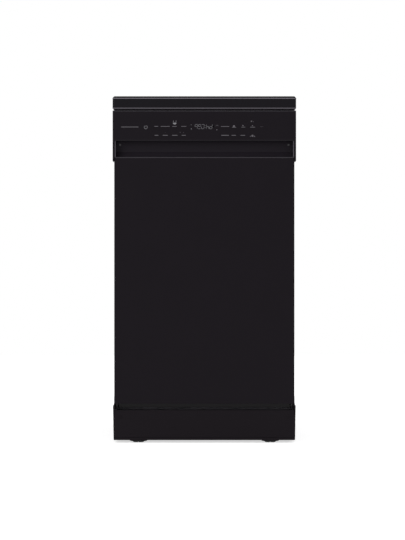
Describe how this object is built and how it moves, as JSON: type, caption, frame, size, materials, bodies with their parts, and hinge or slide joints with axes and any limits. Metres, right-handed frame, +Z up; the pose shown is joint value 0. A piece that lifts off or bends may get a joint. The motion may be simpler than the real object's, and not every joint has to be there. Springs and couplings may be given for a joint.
{
  "type": "slimline dishwasher",
  "caption": "Slim free-standing front-loading dishwasher with worktop, drop-down door, open grip below the control fascia, wire baskets, spray arms and plinth.",
  "frame": {"origin": "on the floor, below the middle of the machine", "axes": "+X to the right seen from the front, +Y to the back, +Z up; the door faces -Y"},
  "size_m": [0.448, 0.6, 0.845],
  "materials": {
    "worktop_laminate": "black laminate on chipboard",
    "worktop_edging": "black moulded edging, satin",
    "black_steel": "black baked enamel, satin",
    "galvanised_steel": "bare galvanised sheet",
    "tub_stainless": "brushed stainless sheet",
    "seal_rubber": "soft moulded rubber",
    "bitumen_felt": "pressed felt",
    "base_plastic": "black moulded plastic, fine grain",
    "foot_rubber": "hard black rubber",
    "spring_steel": "drawn spring wire",
    "door_steel": "black painted steel, satin",
    "fascia_plastic": "black moulded plastic, satin",
    "grip_plastic": "black moulded plastic, fine grain",
    "circuit_board": "coated circuit board",
    "white_plastic": "white moulded plastic",
    "pale_grey_plastic": "pale grey moulded plastic",
    "dark_grey_plastic": "dark grey moulded plastic",
    "spray_plastic": "grey moulded plastic",
    "coated_wire": "nylon-coated wire",
    "rail_steel": "rolled stainless channel",
    "screw_steel": "zinc-plated steel",
    "motor_housing": "dark painted housing",
    "mesh_steel": "perforated stainless sheet"
  },
  "bodies": {
    "cabinet": {"worktop_board": "worktop_laminate", "worktop_trim": "worktop_edging", "side_panel_left": "black_steel", "side_panel_right": "black_steel", "rear_panel": "galvanised_steel", "cross_rails": "galvanised_steel", "striker": "galvanised_steel", "tub": "tub_stainless", "tub_gasket": "seal_rubber", "tub_insulation": "bitumen_felt", "base_tray": "base_plastic", "base_frame": "base_plastic", "plinth": "base_plastic", "hinge_brackets": "galvanised_steel", "door_springs": "spring_steel", "panel_screws": "screw_steel", "sump": "dark_grey_plastic", "filter_plate": "mesh_steel", "softener": "white_plastic", "wash_pump": "motor_housing", "drain_pump": "motor_housing", "inlet_valve": "white_plastic", "drain_outlet": "dark_grey_plastic", "cable_gland": "dark_grey_plastic", "air_break": "pale_grey_plastic", "sump_hoses": "seal_rubber", "feed_duct": "dark_grey_plastic", "ceiling_spray": "dark_grey_plastic", "rail_outer": "rail_steel"},
    "door": {"outer_door_panel": "door_steel", "inner_door_liner": "tub_stainless", "fascia": "fascia_plastic", "handle_bowl": "grip_plastic", "control_board": "circuit_board", "door_latch": "white_plastic", "dispenser_body": "pale_grey_plastic", "hinge_arms": "galvanised_steel", "door_screws": "screw_steel"},
    "upper_basket": {"upper_basket": "coated_wire", "upper_feed_tube": "dark_grey_plastic", "rail_inner": "rail_steel"},
    "latch_claw": {"latch_claw": "galvanised_steel"},
    "dispenser_lid": {"dispenser_lid": "pale_grey_plastic"},
    "rinse_aid_cap": {"rinse_aid_cap": "pale_grey_plastic"},
    "lower_spray_arm": {"lower_spray_arm": "spray_plastic"},
    "upper_spray_arm": {"upper_spray_arm": "spray_plastic"},
    "rail_middle": {"rail_middle": "rail_steel"},
    "lower_basket": {"lower_basket": "coated_wire"},
    "lower_wheels_front": {"lower_wheels_front": "spray_plastic"},
    "lower_wheels_rear": {"lower_wheels_rear": "spray_plastic"},
    "cutlery_basket": {"cutlery_basket": "dark_grey_plastic"},
    "plate_rack_front": {"plate_rack_front": "coated_wire"},
    "plate_rack_rear": {"plate_rack_rear": "coated_wire"},
    "cup_shelf_left": {"cup_shelf_left": "coated_wire"},
    "cup_shelf_right": {"cup_shelf_right": "coated_wire"},
    "salt_cap": {"salt_cap": "white_plastic"},
    "filter_cylinder": {"filter_cylinder": "dark_grey_plastic"},
    "foot_front_left": {"foot_front_left": "foot_rubber"},
    "foot_front_right": {"foot_front_right": "foot_rubber"},
    "rear_foot": {"rear_foot": "foot_rubber"}
  },
  "joints": [
    {"name": "door_swing", "type": "hinge", "parent": "cabinet", "child": "door", "pos_m": [0, -0.276, 0.106], "axis": [1, 0, 0], "range_deg": [0, 90], "deforming": ["door_springs"]},
    {"name": "latch_claw_turn", "type": "hinge", "parent": "door", "child": "latch_claw", "pos_m": [0, -0.264, 0.791], "axis": [1, 0, 0], "range_deg": [-20, 0], "stiffness_Nm_per_rad": 0.05},
    {"name": "dispenser_lid_slide", "type": "slide", "parent": "door", "child": "dispenser_lid", "axis": [0, 0, -1], "range_m": [0, 0.075]},
    {"name": "rinse_aid_cap_turn", "type": "hinge", "parent": "door", "child": "rinse_aid_cap", "pos_m": [0.043, -0.253, 0.48], "axis": [0, 1, 0], "range_deg": [0, 90]},
    {"name": "upper_basket_slide", "type": "slide", "parent": "cabinet", "child": "upper_basket", "axis": [0, -1, 0], "range_m": [0, 0.38]},
    {"name": "rail_middle_slide", "type": "slide", "parent": "cabinet", "child": "rail_middle", "axis": [0, -1, 0], "range_m": [0, 0.19]},
    {"name": "lower_basket_slide", "type": "slide", "parent": "cabinet", "child": "lower_basket", "axis": [0, -1, 0], "range_m": [0, 0.15]},
    {"name": "front_wheels_roll", "type": "hinge", "parent": "lower_basket", "child": "lower_wheels_front", "pos_m": [0, -0.11, 0.1474], "axis": [1, 0, 0], "range_deg": [0, 620]},
    {"name": "rear_wheels_roll", "type": "hinge", "parent": "lower_basket", "child": "lower_wheels_rear", "pos_m": [0, 0.188, 0.1474], "axis": [1, 0, 0], "range_deg": [0, 620]},
    {"name": "cutlery_basket_lift", "type": "slide", "parent": "lower_basket", "child": "cutlery_basket", "axis": [0, 0, 1], "range_m": [0, 0.07]},
    {"name": "front_rack_fold", "type": "hinge", "parent": "lower_basket", "child": "plate_rack_front", "pos_m": [0, -0.1, 0.203], "axis": [-1, 0, 0], "range_deg": [0, 90]},
    {"name": "rear_rack_fold", "type": "hinge", "parent": "lower_basket", "child": "plate_rack_rear", "pos_m": [0, 0.06, 0.203], "axis": [-1, 0, 0], "range_deg": [0, 90]},
    {"name": "left_cup_shelf_fold", "type": "hinge", "parent": "upper_basket", "child": "cup_shelf_left", "pos_m": [-0.163, 0, 0.53], "axis": [0, -1, 0], "range_deg": [0, 90]},
    {"name": "right_cup_shelf_fold", "type": "hinge", "parent": "upper_basket", "child": "cup_shelf_right", "pos_m": [0.163, 0, 0.53], "axis": [0, 1, 0], "range_deg": [0, 90]},
    {"name": "lower_spray_arm_spin", "type": "hinge", "parent": "cabinet", "child": "lower_spray_arm", "pos_m": [0, 0.01, 0.163], "axis": [0, 0, 1], "continuous": true},
    {"name": "upper_spray_arm_spin", "type": "hinge", "parent": "upper_basket", "child": "upper_spray_arm", "pos_m": [0, 0.01, 0.4388], "axis": [0, 0, 1], "continuous": true},
    {"name": "filter_twist", "type": "hinge", "parent": "cabinet", "child": "filter_cylinder", "pos_m": [0.045, -0.08, 0.12], "axis": [0, 0, 1], "range_deg": [0, 90]},
    {"name": "salt_cap_turn", "type": "hinge", "parent": "cabinet", "child": "salt_cap", "pos_m": [-0.125, -0.06, 0.136], "axis": [0, 0, 1], "range_deg": [0, 360]},
    {"name": "left_foot_height", "type": "slide", "parent": "cabinet", "child": "foot_front_left", "axis": [0, 0, 1], "range_m": [-0.03, 0]},
    {"name": "right_foot_height", "type": "slide", "parent": "cabinet", "child": "foot_front_right", "axis": [0, 0, 1], "range_m": [-0.03, 0]},
    {"name": "rear_foot_height", "type": "slide", "parent": "cabinet", "child": "rear_foot", "axis": [0, 0, 1], "range_m": [-0.03, 0]}
  ],
  "couplings": [
    {"joint": "upper_basket_slide", "follows": "door_swing", "m_per_rad": 0.2418},
    {"joint": "rail_middle_slide", "follows": "door_swing", "m_per_rad": 0.1209},
    {"joint": "lower_basket_slide", "follows": "door_swing", "m_per_rad": 0.0954},
    {"joint": "front_wheels_roll", "follows": "door_swing", "ratio": 6.8143},
    {"joint": "rear_wheels_roll", "follows": "door_swing", "ratio": 6.8143}
  ]
}
